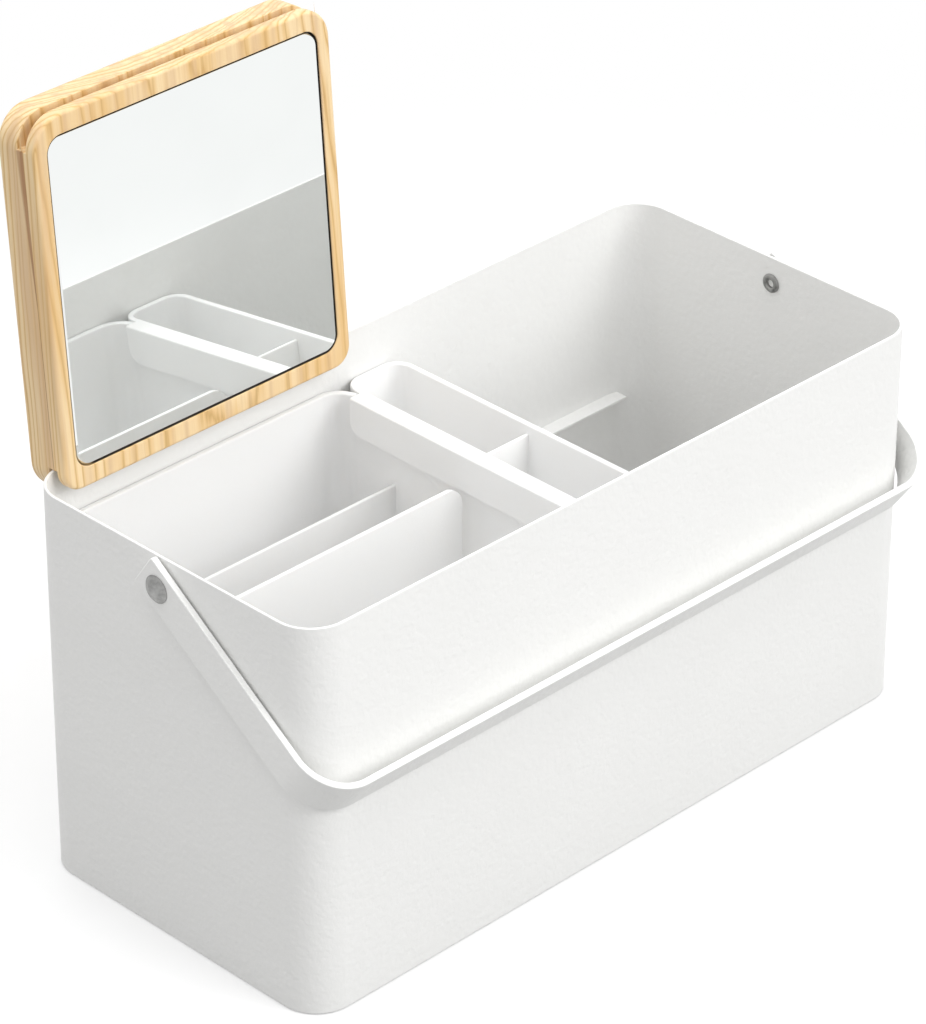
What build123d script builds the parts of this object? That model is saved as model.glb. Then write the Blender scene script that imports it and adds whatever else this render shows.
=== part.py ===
from build123d import *
import os
from math import cos, radians, sin, tan

os.makedirs("parts", exist_ok=True)

# Steel vanity box with a swinging strap handle, two plastic trays and a pine
# lid with an inlaid mirror. Millimetres. +X runs along the long side, +Y to
# the back wall that carries the lid, +Z up. The origin is the centre of the
# flat underside. A "fit" is the gap left round a piece that slides or lifts.

# ---- box --------------------------------------------------------------------
box_length = 320.0
box_depth = 149.0
box_height = 164.0
box_corner = 16.0
sheet = 1.2
rim_round = 0.4
base_flange_height = 9.0
base_bend = 1.0
weld_gap = 0.05

# ---- rails along the two long walls ------------------------------------------
rail_ledge_width = 6.5
rail_ledge_length = 298.0
rail_flange_height = 12.0
rail_flange_length = 280.0

# ---- handle and its two rivets ------------------------------------------------
pivot_drop = 11.0
strap_width = 16.5
strap_thickness = 2.6
strap_rest_gap = 0.4
strap_end_margin = 9.0
strap_bend = 17.5
strap_end_round = 1.2
strap_rest_angle = 35.0
washer_thickness = 1.0
washer_radius = 6.0
pivot_face_gap = 0.1
pivot_fit = 0.05
rivet_radius = 2.5
rivet_head_radius = 5.5
rivet_head_height = 2.6
rivet_roll_radius = 4.0
rivet_roll_height = 1.3
rivet_roll_round = 0.5
rivet_bore_radius = 1.6
rivet_bore_depth = 3.6

# ---- lid ----------------------------------------------------------------------
lid_width = 142.4
lid_side_fit = 0.2
lid_thickness = 20.0
lid_corner = 13.0
lid_edge_round = 1.5
lid_centre_x = -76.6
lid_lean = 4.3
lid_front_leaf = 4.8
lid_slot_width = 4.6
lid_rear_drop = 5.0
lid_foot_slot_depth = 8.5
lid_head_slot_depth = 12.0
lid_seat_gap = 0.1
lid_lip_gap = 0.15

# ---- mirror -------------------------------------------------------------------
mirror_side_strip = 6.7
mirror_end_strip = 8.6
mirror_corner = 6.0
mirror_thickness = 2.0
mirror_bevel = 0.5
mirror_side_gap = 0.7
mirror_sunk = 0.2
tape_thickness = 0.4
tape_margin = 4.0

# ---- trays --------------------------------------------------------------------
tray_rim_drop = 20.5
tray_wall = 2.5
tray_floor = 2.0
tray_foot_round = 1.5
tray_side_fit = 0.4
tray_seat_gap = 0.1
large_tray_height = 64.4
large_tray_end_x = -4.8
large_tray_end_fit = 0.6
large_tray_outer_corner = 15.0
large_tray_inner_corner = 12.0
low_divider_y = 41.0
low_divider_drop = 30.0
low_divider_thickness = 1.5
high_divider_y = -1.1
high_divider_drop = 9.5
high_divider_thickness = 1.8
high_divider_round = 8.0
high_divider_hook_gap = 3.5
small_tray_width = 30.4
small_tray_height = 30.0
small_tray_corner = 8.5
small_divider_y = 0.7
small_divider_drop = 3.7
small_divider_thickness = 1.5
hook_fit = 0.3
hook_end_margin = 10.6
hook_plate = 2.0
hook_skirt_drop = 15.3
hook_skirt_corner = 6.0

# ---- derived places -------------------------------------------------------------
half_length = box_length / 2
half_depth = box_depth / 2
inner_half_length = half_length - sheet
inner_half_depth = half_depth - sheet
inner_corner = box_corner - sheet
pivot_z = box_height - pivot_drop
rest = radians(strap_rest_angle)
strap_reach = (half_depth + strap_rest_gap + strap_width / 2 * sin(rest)) / cos(rest)
strap_inner_x = half_length + washer_thickness + pivot_face_gap
strap_outer_x = strap_inner_x + strap_thickness
lid_height = 2 * (inner_half_depth - lid_side_fit)
lid_front_foot_corner = lid_corner - lid_rear_drop
mirror_width = lid_width - 2 * mirror_side_strip
mirror_height = lid_height - 2 * mirror_end_strip
tray_half_depth = inner_half_depth - tray_side_fit
tray_rim_z = box_height - tray_rim_drop
large_tray_bottom_z = tray_rim_z - large_tray_height
rail_top_z = large_tray_bottom_z - tray_seat_gap
large_tray_start_x = -inner_half_length + large_tray_end_fit
small_tray_start_x = large_tray_end_x + hook_fit
small_tray_end_x = small_tray_start_x + small_tray_width
small_tray_bottom_z = tray_rim_z - small_tray_height
hook_start_x = large_tray_end_x - tray_wall - hook_fit - tray_wall
hook_half_length = tray_half_depth - hook_end_margin


def block(x_low, x_high, y_low, y_high, z_low, z_high):
    """A box given by its two limits along each axis."""
    middle = ((x_low + x_high) / 2, (y_low + y_high) / 2, (z_low + z_high) / 2)
    return Pos(*middle) * Box(x_high - x_low, y_high - y_low, z_high - z_low)


def rounded_block(x_low, x_high, y_low, y_high, z_low, z_high, low_round, high_round):
    """An upright prism; the corners at its low-X end and high-X end are rounded."""
    corners = [
        (x_low, y_low, low_round),
        (x_low, y_high, low_round),
        (x_high, y_low, high_round),
        (x_high, y_high, high_round),
    ]
    solid = block(x_low, x_high, y_low, y_high, z_low, z_high)
    for x, y, radius in corners:
        uprights = solid.edges().filter_by(Axis.Z)
        edge = uprights.sort_by_distance((x, y, (z_low + z_high) / 2))[0]
        solid = fillet(edge, radius)
    return solid


def cavity(z_low, z_high, inset=0.0):
    """The space inside the box wall, drawn in on all sides by an inset."""
    reach_x = inner_half_length - inset
    reach_y = inner_half_depth - inset
    radius = inner_corner - inset
    return rounded_block(-reach_x, reach_x, -reach_y, reach_y, z_low, z_high, radius, radius)


def cross_rod(radius, x_low, x_high, y, z):
    """A cylinder whose axis runs along X."""
    turned = Rotation(0, 90, 0) * Cylinder(radius, x_high - x_low)
    return Pos((x_low + x_high) / 2, y, z) * turned


# ---- box wall: one bent and seam-welded band -------------------------------------
outside = rounded_block(
    -half_length, half_length, -half_depth, half_depth, 0, box_height, box_corner, box_corner
)
body_wall = outside - cavity(0, box_height)
body_wall = fillet(body_wall.edges().group_by(Axis.Z)[-1], rim_round)
body_wall -= cross_rod(rivet_radius + pivot_fit, -half_length, half_length, 0, pivot_z)
export_step(body_wall, "parts/body_wall.step")

# ---- base plate: a shallow pan, its flange turned up inside the wall ---------------
base_plate = cavity(0, base_flange_height, weld_gap)
base_plate = fillet(base_plate.edges().group_by(Axis.Z)[0], base_bend)
base_plate -= cavity(sheet, base_flange_height, weld_gap + sheet)
export_step(base_plate, "parts/base_plate.step")


# ---- rails: angle strips, the ledge on top and the flange against the wall ---------
def rail(side):
    """The rail on the back wall (side 1) or on the front wall (side -1)."""
    wall_y = side * inner_half_depth
    ledge_y = wall_y - side * rail_ledge_width
    flange_y = wall_y - side * sheet
    half_ledge = rail_ledge_length / 2
    half_flange = rail_flange_length / 2
    ledge = block(
        -half_ledge, half_ledge, min(ledge_y, wall_y), max(ledge_y, wall_y),
        rail_top_z - sheet, rail_top_z,
    )
    flange = block(
        -half_flange, half_flange, min(flange_y, wall_y), max(flange_y, wall_y),
        rail_top_z - rail_flange_height, rail_top_z - sheet,
    )
    return (ledge & cavity(0, box_height)) + flange


export_step(rail(1), "parts/back_rail.step")
export_step(rail(-1), "parts/front_rail.step")


# ---- handle: one flat strap bent to a U --------------------------------------------
def strap_outline(half_span, reach, bend):
    """The U's outer or inner outline as a filled shape, the open end at low Y."""
    length = reach + strap_end_margin
    shape = Pos(0, reach - length / 2) * Rectangle(2 * half_span, length)
    return fillet(shape.vertices().group_by(Axis.Y)[-1], bend)


strap_u = strap_outline(strap_outer_x, strap_reach + strap_thickness, strap_bend + strap_thickness)
strap_u -= strap_outline(strap_inner_x, strap_reach, strap_bend)
handle_strap = extrude(strap_u, amount=strap_width / 2, both=True)
arm_ends = handle_strap.faces().group_by(Axis.Y)[0]
handle_strap = fillet(arm_ends.edges().filter_by(Axis.X), strap_end_round)
handle_strap -= cross_rod(rivet_radius + pivot_fit, -strap_outer_x, strap_outer_x, 0, 0)
strap_plane = Plane(origin=(0, 0, pivot_z), x_dir=(1, 0, 0), z_dir=(0, sin(rest), -cos(rest)))
export_step(strap_plane * handle_strap, "parts/handle_strap.step")


# ---- pivots: semi-tubular rivets, each with a spacer washer --------------------------
def pivot_rivet():
    """A domed rivet along Z: head above the strap, the end rolled over inside the wall."""
    grip = pivot_face_gap + strap_outer_x - inner_half_length
    dome_radius = (rivet_head_radius**2 + rivet_head_height**2) / (2 * rivet_head_height)
    dome = Pos(0, 0, rivet_head_height - dome_radius) * Sphere(dome_radius)
    head = dome & Pos(0, 0, rivet_head_height / 2) * Cylinder(rivet_head_radius, rivet_head_height)
    shank = Pos(0, 0, -grip / 2) * Cylinder(rivet_radius, grip)
    roll = Cylinder(rivet_roll_radius, rivet_roll_height)
    roll = fillet(roll.edges().group_by(Axis.Z)[0], rivet_roll_round)
    roll = Pos(0, 0, -grip - rivet_roll_height / 2) * roll
    bore_middle = -grip - rivet_roll_height + rivet_bore_depth / 2
    bore = Pos(0, 0, bore_middle) * Cylinder(rivet_bore_radius, rivet_bore_depth)
    return head + shank + roll - bore


def spacer_washer():
    """The washer along Z that keeps the strap off the wall; its outer face is at 0."""
    ring = Cylinder(washer_radius, washer_thickness)
    ring -= Cylinder(rivet_radius + pivot_fit, washer_thickness)
    return Pos(0, 0, -washer_thickness / 2) * ring


for name, side in (("left", -1), ("right", 1)):
    head_x = side * (strap_outer_x + pivot_face_gap)
    washer_x = side * (half_length + washer_thickness)
    turn = Rotation(0, side * 90, 0)
    export_step(Pos(head_x, 0, pivot_z) * turn * pivot_rivet(), f"parts/{name}_pivot_rivet.step")
    export_step(Pos(washer_x, 0, pivot_z) * turn * spacer_washer(), f"parts/{name}_spacer_washer.step")

# ---- lid: one pine board standing on the back rim -------------------------------------
# The board is drawn lying in X and Y with its front face at Z 0 and the rim's height
# at Y 0. Behind the slots its rear leaf reaches lower than the front one. It leans back
# until that leaf's lip meets the wall's outside, and the back edge of the slot's floor,
# the lowest one, stands on the rim.
lean = radians(lid_lean)
slot_back = lid_front_leaf + lid_slot_width
lid_foot_y = lid_seat_gap + slot_back * tan(lean) - lid_foot_slot_depth
lid_middle_y = lid_foot_y + lid_height / 2
lid_rear_foot_y = lid_foot_y - lid_rear_drop
lid_front_y = half_depth + lid_lip_gap - lid_rear_foot_y * sin(lean) - slot_back * cos(lean)
lid_plane = Plane(
    origin=(lid_centre_x, lid_front_y, box_height), x_dir=(1, 0, 0), z_dir=(0, -cos(lean), sin(lean))
)


def plate(width, height, corner, z_low, z_high):
    """A flat piece of the lid: rounded outline centred on the board, between two depths."""
    outline = Pos(0, lid_middle_y, z_low) * RectangleRounded(width, height, corner)
    return extrude(outline, amount=z_high - z_low)


def leaf(foot_y, foot_corner, z_low, z_high):
    """One leaf of the board, from its foot to the head that both leaves share."""
    leaf_height = lid_head_y - foot_y
    outline = Pos(0, foot_y + leaf_height / 2, z_low) * Rectangle(lid_width, leaf_height)
    outline = fillet(outline.vertices().group_by(Axis.Y)[-1], lid_corner)
    outline = fillet(outline.vertices().group_by(Axis.Y)[0], foot_corner)
    return extrude(outline, amount=z_high - z_low)


lid_head_y = lid_foot_y + lid_height
lid_board = leaf(lid_foot_y, lid_front_foot_corner, -slot_back, 0)
lid_board += leaf(lid_rear_foot_y, lid_corner, -lid_thickness, -slot_back)
face_edges = lid_board.edges().group_by(Axis.Z)[-1] + lid_board.edges().group_by(Axis.Z)[0]
lid_board = fillet(face_edges, lid_edge_round)
foot_slot = (lid_rear_foot_y, lid_foot_y + lid_foot_slot_depth)
head_slot = (lid_head_y - lid_head_slot_depth, lid_head_y)
for y_low, y_high in (foot_slot, head_slot):
    lid_board -= block(-lid_width, lid_width, y_low, y_high, -slot_back, -lid_front_leaf)
glass_front = -mirror_sunk
glass_back = glass_front - mirror_thickness
recess_floor = glass_back - tape_thickness
recess_width = mirror_width + 2 * mirror_side_gap
recess_height = mirror_height + 2 * mirror_side_gap
recess_corner = mirror_corner + mirror_side_gap
lid_board -= plate(recess_width, recess_height, recess_corner, recess_floor, 0)
export_step(lid_plane * lid_board, "parts/lid_board.step")

mirror_glass = plate(mirror_width, mirror_height, mirror_corner, glass_back, glass_front)
mirror_glass = chamfer(mirror_glass.edges().group_by(Axis.Z)[-1], mirror_bevel)
export_step(lid_plane * mirror_glass, "parts/mirror_glass.step")

mirror_tape = plate(
    mirror_width - 2 * tape_margin, mirror_height - 2 * tape_margin, mirror_corner, recess_floor, glass_back
)
export_step(lid_plane * mirror_tape, "parts/mirror_tape.step")


# ---- trays ----------------------------------------------------------------------------
def tray_shell(x_low, x_high, z_low, low_round, high_round):
    """An open tray across the box, from its floor at z_low up to the common rim height."""
    outer = rounded_block(
        x_low, x_high, -tray_half_depth, tray_half_depth, z_low, tray_rim_z, low_round, high_round
    )
    outer = fillet(outer.edges().group_by(Axis.Z)[0], tray_foot_round)
    inner_reach_y = tray_half_depth - tray_wall
    inner = rounded_block(
        x_low + tray_wall, x_high - tray_wall, -inner_reach_y, inner_reach_y,
        z_low + tray_floor, tray_rim_z, low_round - tray_wall, high_round - tray_wall,
    )
    return outer - inner


def divider(x_low, x_high, y, thickness, z_low, z_high, top_round=0.0):
    """A thin wall across a tray, its two top corners rounded when asked."""
    wall = block(x_low, x_high, y - thickness / 2, y + thickness / 2, z_low, z_high)
    if top_round > 0:
        wall = fillet(wall.edges().filter_by(Axis.Y).group_by(Axis.Z)[-1], top_round)
    return wall


large_tray = tray_shell(
    large_tray_start_x, large_tray_end_x, large_tray_bottom_z,
    large_tray_outer_corner, large_tray_inner_corner,
)
divider_span = (large_tray_start_x + tray_wall, large_tray_end_x - tray_wall)
divider_foot_z = large_tray_bottom_z + tray_floor
large_tray += divider(
    *divider_span, low_divider_y, low_divider_thickness, divider_foot_z,
    tray_rim_z - low_divider_drop,
)
# The high divider stops short of the small tray's hook, which reaches down inside the wall.
large_tray += divider(
    divider_span[0], hook_start_x - high_divider_hook_gap, high_divider_y, high_divider_thickness,
    divider_foot_z, tray_rim_z - high_divider_drop, high_divider_round,
)
notch_half_length = hook_half_length + hook_fit
large_tray -= block(
    hook_start_x, large_tray_end_x, -notch_half_length, notch_half_length,
    tray_rim_z - hook_plate - tray_seat_gap, tray_rim_z,
)
export_step(large_tray, "parts/large_tray.step")

small_tray = tray_shell(
    small_tray_start_x, small_tray_end_x, small_tray_bottom_z, small_tray_corner, small_tray_corner
)
small_tray += divider(
    small_tray_start_x + tray_wall, small_tray_end_x - tray_wall, small_divider_y,
    small_divider_thickness, small_tray_bottom_z + tray_floor, tray_rim_z - small_divider_drop,
)
hook_top = block(
    hook_start_x, small_tray_start_x + tray_wall, -hook_half_length, hook_half_length,
    tray_rim_z - hook_plate, tray_rim_z,
)
hook_skirt = block(
    hook_start_x, hook_start_x + tray_wall, -hook_half_length, hook_half_length,
    tray_rim_z - hook_skirt_drop, tray_rim_z,
)
skirt_feet = hook_skirt.edges().filter_by(Axis.X).group_by(Axis.Z)[0]
hook_skirt = fillet(skirt_feet, hook_skirt_corner)
small_tray += hook_top + hook_skirt
export_step(small_tray, "parts/small_tray.step")
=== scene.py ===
"""Looks of a steel vanity box: powder coat, strap handle, two moulded trays and a pine lid with a mirror.

Everything is in metres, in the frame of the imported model: +X along the long side, +Y to the
back wall that carries the lid, +Z up, the origin at the centre of the underside.
"""

import logging
from contextlib import contextmanager
from dataclasses import dataclass, field
from enum import Enum
from math import cos, pi, radians, sin
from typing import Any, Callable, Iterator, Sequence

import bmesh
import bpy
from mathutils import Matrix, Vector


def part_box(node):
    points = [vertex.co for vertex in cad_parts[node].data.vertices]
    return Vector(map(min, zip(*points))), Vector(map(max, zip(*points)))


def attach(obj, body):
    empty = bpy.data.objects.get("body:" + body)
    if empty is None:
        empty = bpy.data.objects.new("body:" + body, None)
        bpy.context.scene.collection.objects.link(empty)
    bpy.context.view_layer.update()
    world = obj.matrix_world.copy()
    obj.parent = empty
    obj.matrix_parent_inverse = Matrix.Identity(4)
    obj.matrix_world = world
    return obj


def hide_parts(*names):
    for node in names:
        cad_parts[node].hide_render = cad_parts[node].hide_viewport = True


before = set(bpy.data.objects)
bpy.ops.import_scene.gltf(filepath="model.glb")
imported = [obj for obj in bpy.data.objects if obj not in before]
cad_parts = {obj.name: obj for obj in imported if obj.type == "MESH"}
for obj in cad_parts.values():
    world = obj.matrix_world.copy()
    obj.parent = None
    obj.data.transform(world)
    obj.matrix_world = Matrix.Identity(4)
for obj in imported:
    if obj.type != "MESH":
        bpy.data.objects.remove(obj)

LOG = logging.getLogger("vanity_box")

MM = 0.001
NEAR = 0.00002
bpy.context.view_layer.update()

Point = Sequence[float]
Test = Callable[[Any], bool]
Socket = bpy.types.NodeSocket


class Kind(Enum):
    """What a selection on the bench is made of."""

    POINTS = "VERT"
    EDGES = "EDGE"
    FACES = "FACE"


class Body(Enum):
    """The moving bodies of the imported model."""

    BOX = "box"
    HANDLE = "handle"
    LID = "lid"
    LARGE_TRAY = "large_tray"
    SMALL_TRAY = "small_tray"


class Slot(Enum):
    """The finishes that the record names."""

    POWDER_COAT = "powder_coat"
    RIVET_STEEL = "rivet_steel"
    WASHER_NYLON = "washer_nylon"
    PINE = "pine"
    MIRROR = "mirror"
    TAPE = "tape"
    TRAY_PLASTIC = "tray_plastic"


# ---- picking edges and faces by place --------------------------------------------


def corners(item: Any) -> list[Vector]:
    """Gives the places of an item's vertices.

    Args:
        item: A vertex, edge or face of an edit mesh.

    Returns:
        One place for each vertex.
    """
    if isinstance(item, bmesh.types.BMVert):
        return [item.co]
    return [vert.co for vert in item.verts]


def lies_at(axis: int, value: float) -> Test:
    """Builds a test for items that lie wholly at one value along an axis.

    Args:
        axis: 0, 1 or 2 for X, Y or Z.
        value: The place along that axis.

    Returns:
        The test.
    """
    return lambda item: all(abs(place[axis] - value) < NEAR for place in corners(item))


def runs_along(axis: int) -> Test:
    """Builds a test for edges parallel to an axis.

    Args:
        axis: 0, 1 or 2 for X, Y or Z.

    Returns:
        The test.
    """

    def parallel(edge: Any) -> bool:
        """Tells whether the edge runs along the axis."""
        start, end = corners(edge)
        run = end - start
        return run.length > NEAR and abs(abs(run[axis]) - run.length) < NEAR * run.length

    return parallel


def between(axis: int, low: float, high: float) -> Test:
    """Builds a test for items that lie wholly between two values along an axis.

    Args:
        axis: 0, 1 or 2 for X, Y or Z.
        low: The lower limit.
        high: The upper limit.

    Returns:
        The test.
    """
    return lambda item: all(low - NEAR <= place[axis] <= high + NEAR for place in corners(item))


def both(*tests: Test) -> Test:
    """Builds a test that holds where all the given tests hold.

    Args:
        tests: The tests to combine.

    Returns:
        The combined test.
    """
    return lambda item: all(test(item) for test in tests)


def everything(item: Any) -> bool:
    """Holds for every item."""
    return True


# ---- the bench --------------------------------------------------------------------


class Workpiece:
    """One mesh on the bench: a primitive that edit-mode tools then shape."""

    def __init__(self, obj: bpy.types.Object) -> None:
        """Takes hold of an object.

        Args:
            obj: The mesh object to shape.
        """
        self.obj = obj

    @staticmethod
    def clear_bench() -> None:
        """Deselects every object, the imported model's nodes among them."""
        if bpy.context.mode != "OBJECT":
            bpy.ops.object.mode_set(mode="OBJECT")
        bpy.ops.object.select_all(action="DESELECT")

    @classmethod
    def _adopt(cls, name: str) -> "Workpiece":
        """Names the primitive that was just added and bakes its place into its mesh.

        Args:
            name: The new object's name.

        Returns:
            The workpiece.
        """
        obj = bpy.context.active_object
        obj.name = name
        obj.data.name = name
        bpy.ops.object.transform_apply(location=True, rotation=True, scale=True)
        return cls(obj)

    @classmethod
    def block(cls, name: str, low: Point, high: Point) -> "Workpiece":
        """Adds a block between two corners.

        Args:
            name: The new object's name.
            low: The lowest corner.
            high: The highest corner.

        Returns:
            The block.
        """
        cls.clear_bench()
        middle = [(a + b) / 2 for a, b in zip(low, high)]
        size = [b - a for a, b in zip(low, high)]
        bpy.ops.mesh.primitive_cube_add(size=1.0, location=middle, scale=size)
        return cls._adopt(name)

    @classmethod
    def ring(cls, name: str, radius: float, height: float, steps: int) -> "Workpiece":
        """Adds a circle of edges round the Z axis.

        Args:
            name: The new object's name.
            radius: The circle's radius.
            height: Its height along Z.
            steps: The number of its edges.

        Returns:
            The ring.
        """
        cls.clear_bench()
        bpy.ops.mesh.primitive_circle_add(vertices=steps, radius=radius, location=(0, 0, height))
        return cls._adopt(name)

    @classmethod
    def sheet(cls, name: str, centre: Point, size: Point, turn: Point = (0, 0, 0)) -> "Workpiece":
        """Adds a flat rectangle.

        Args:
            name: The new object's name.
            centre: Its middle.
            size: Its two sides before it is turned.
            turn: Its turn about X, Y and Z, in radians.

        Returns:
            The sheet.
        """
        cls.clear_bench()
        bpy.ops.mesh.primitive_plane_add(size=1.0, location=centre, rotation=turn)
        bpy.context.active_object.scale = (size[0], size[1], 1.0)
        return cls._adopt(name)

    def _hold(self) -> None:
        """Selects this object alone and makes it the active one."""
        self.clear_bench()
        bpy.context.view_layer.objects.active = self.obj
        self.obj.select_set(True)

    @contextmanager
    def editing(self) -> Iterator[None]:
        """Opens the mesh in edit mode for the length of a with block."""
        self._hold()
        bpy.ops.object.mode_set(mode="EDIT")
        try:
            yield
        finally:
            bpy.ops.object.mode_set(mode="OBJECT")

    def pick(self, kind: Kind, test: Test) -> "Workpiece":
        """Selects the items that pass a test, and nothing else.

        Args:
            kind: Whether points, edges or faces are picked.
            test: The test that an item passes.

        Returns:
            The same workpiece.
        """
        with self.editing():
            bpy.ops.mesh.select_mode(type=kind.value)
            bpy.ops.mesh.select_all(action="DESELECT")
            mesh = bmesh.from_edit_mesh(self.obj.data)
            items = {Kind.POINTS: mesh.verts, Kind.EDGES: mesh.edges, Kind.FACES: mesh.faces}[kind]
            for item in items:
                if test(item):
                    item.select_set(True)
            mesh.select_flush_mode()
            bmesh.update_edit_mesh(self.obj.data)
        return self

    def bevel(self, width: float, steps: int, points: bool = False) -> "Workpiece":
        """Rounds the selected edges, or the selected points' corners.

        Args:
            width: The rounding's radius.
            steps: The number of faces across it.
            points: Whether points are rounded in place of edges.

        Returns:
            The same workpiece.
        """
        with self.editing():
            bpy.ops.mesh.bevel(
                offset=width,
                offset_type="OFFSET",
                segments=steps,
                affect="VERTICES" if points else "EDGES",
                clamp_overlap=False,
            )
        return self

    def extrude(self, move: Point) -> "Workpiece":
        """Draws the selection out along a move.

        Args:
            move: How far the new end lies from the old.

        Returns:
            The same workpiece.
        """
        with self.editing():
            bpy.ops.mesh.extrude_region_move(TRANSFORM_OT_translate={"value": tuple(move)})
        return self

    def resize(self, factor: Point, centre: Point) -> "Workpiece":
        """Scales the selection about a place.

        Args:
            factor: The scale along X, Y and Z.
            centre: The place that stays.

        Returns:
            The same workpiece.
        """
        with self.editing():
            bpy.ops.transform.resize(value=tuple(factor), center_override=tuple(centre))
        return self

    def inset(self, width: float) -> "Workpiece":
        """Draws the selected face's border in by an even width."""
        with self.editing():
            bpy.ops.mesh.inset(thickness=width, use_even_offset=True)
        return self

    def spin(self, angle: float, centre: Point, axis: Point, steps: int) -> "Workpiece":
        """Sweeps the selected edges round an axis.

        Args:
            angle: The sweep, in radians.
            centre: A place on the axis.
            axis: The axis's direction.
            steps: The number of faces along the sweep.

        Returns:
            The same workpiece.
        """
        with self.editing():
            bpy.ops.mesh.spin(steps=steps, angle=-angle, center=tuple(centre), axis=tuple(axis))
        return self

    def bisect(self, place: Point, normal: Point, drop: bool = False) -> "Workpiece":
        """Cuts the whole mesh along a plane.

        Args:
            place: A place on the plane.
            normal: The plane's normal.
            drop: Whether the side that the normal points to is taken off and the cut closed.

        Returns:
            The same workpiece.
        """
        self.pick(Kind.FACES, everything)
        with self.editing():
            bpy.ops.mesh.bisect(
                plane_co=tuple(place),
                plane_no=tuple(Vector(normal).normalized()),
                use_fill=drop,
                clear_outer=drop,
                threshold=NEAR / 10,
            )
        return self

    def remove(self, kind: Kind) -> "Workpiece":
        """Deletes the selection."""
        with self.editing():
            bpy.ops.mesh.delete(type=kind.value)
        return self

    def close(self) -> "Workpiece":
        """Fills the selected loop of edges with one face."""
        with self.editing():
            bpy.ops.mesh.edge_face_add()
        return self

    def merge(self) -> "Workpiece":
        """Joins doubled points and turns every face outwards."""
        self.pick(Kind.FACES, everything)
        with self.editing():
            bpy.ops.mesh.remove_doubles(threshold=NEAR / 10)
            bpy.ops.mesh.normals_make_consistent(inside=False)
        return self

    def clear_seams(self) -> "Workpiece":
        """Takes out the edges that cross flat faces, such as a union leaves."""
        self.pick(Kind.FACES, everything)
        with self.editing():
            bpy.ops.mesh.dissolve_limited(angle_limit=radians(0.5))
        return self

    def modify(self, kind: str, **settings: Any) -> "Workpiece":
        """Adds a modifier and applies it.

        Args:
            kind: The modifier's type.
            settings: Its values by name.

        Returns:
            The same workpiece.
        """
        self._hold()
        bpy.ops.object.modifier_add(type=kind)
        modifier = self.obj.modifiers[-1]
        for name, value in settings.items():
            setattr(modifier, name, value)
        bpy.ops.object.modifier_apply(modifier=modifier.name)
        return self

    def thicken(self, thickness: float) -> "Workpiece":
        """Gives a surface its thickness on the side that it faces away from."""
        return self.modify("SOLIDIFY", thickness=thickness, offset=-1.0, use_even_offset=True)

    def soften(self, width: float, steps: int, angle: float, clamp: bool = True) -> "Workpiece":
        """Rounds every edge that turns more sharply than an angle.

        Args:
            width: The rounding's width.
            steps: The number of faces across it.
            angle: The angle, in degrees.
            clamp: Whether roundings give way where they meet.

        Returns:
            The same workpiece.
        """
        limit = {"limit_method": "ANGLE", "angle_limit": radians(angle)}
        return self.modify("BEVEL", width=width, segments=steps, use_clamp_overlap=clamp, **limit)

    def cut(self, cutter: "Workpiece") -> "Workpiece":
        """Takes another workpiece's shape out of this one, and clears that one away."""
        self.modify("BOOLEAN", operation="DIFFERENCE", solver="EXACT", object=cutter.obj)
        cutter.discard()
        return self

    def unite(self, other: "Workpiece") -> "Workpiece":
        """Fuses another workpiece into this one, and clears that one away."""
        self.modify("BOOLEAN", operation="UNION", solver="EXACT", object=other.obj)
        other.discard()
        return self

    def discard(self) -> None:
        """Deletes the object and its mesh."""
        mesh = self.obj.data
        bpy.data.objects.remove(self.obj)
        bpy.data.meshes.remove(mesh)

    def place(self, matrix: Matrix) -> "Workpiece":
        """Moves the mesh by a matrix; the object stays at the origin."""
        self._hold()
        self.obj.matrix_world = matrix
        bpy.ops.object.transform_apply(location=True, rotation=True, scale=True)
        return self

    def smooth(self, angle: float) -> "Workpiece":
        """Shades the mesh smooth below an angle, with flat faces kept flat.

        Args:
            angle: The sharpest turn that is still smooth, in degrees.

        Returns:
            The same workpiece.
        """
        self._hold()
        bpy.ops.object.shade_smooth_by_angle(angle=radians(angle))
        return self.modify("WEIGHTED_NORMAL", keep_sharp=True, weight=100)

    def finish(self, body: Body, slot: Slot, node: str, *materials: bpy.types.Material) -> None:
        """Dresses the piece and hangs it on its body in place of a node.

        Args:
            body: The body that the piece moves with.
            slot: The record's finish; not used.
            node: The node that the piece stands for.
            materials: The materials, one for each material index.
        """
        self.obj.data.materials.clear()
        for material in materials:
            self.obj.data.materials.append(material)
        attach(self.obj, body.value)
        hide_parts(node)
        LOG.info("%s: %d faces, rides on %s", self.obj.name, len(self.obj.data.polygons), body.value)


def drawn_round(name: str, profile: Sequence[Point], steps: int) -> Workpiece:
    """Draws a profile round Z, ring by ring, and leaves its last ring selected.

    Args:
        name: The new object's name.
        profile: Radius and height of each ring in order.
        steps: The number of faces round the axis.

    Returns:
        The piece, open at its first and last rings.
    """
    first_radius, first_height = profile[0]
    piece = Workpiece.ring(name, first_radius, first_height, steps)
    piece.pick(Kind.EDGES, everything)
    for (radius, height), (new_radius, new_height) in zip(profile, profile[1:]):
        piece.extrude((0, 0, new_height - height))
        factor = new_radius / radius
        piece.resize((factor, factor, 1), (0, 0, new_height))
    return piece


def turned(name: str, profile: Sequence[Point], steps: int) -> Workpiece:
    """Makes a solid of revolution about Z.

    Args:
        name: The new object's name.
        profile: Radius and height of each ring in order; the first and last rings are closed flat.
        steps: The number of faces round the axis.

    Returns:
        The turned piece.
    """
    piece = drawn_round(name, profile, steps).close()
    piece.pick(Kind.EDGES, both(lies_at(2, profile[0][1]), lambda edge: edge.is_boundary))
    return piece.close().merge()


# ---- finishes -----------------------------------------------------------------------


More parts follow.
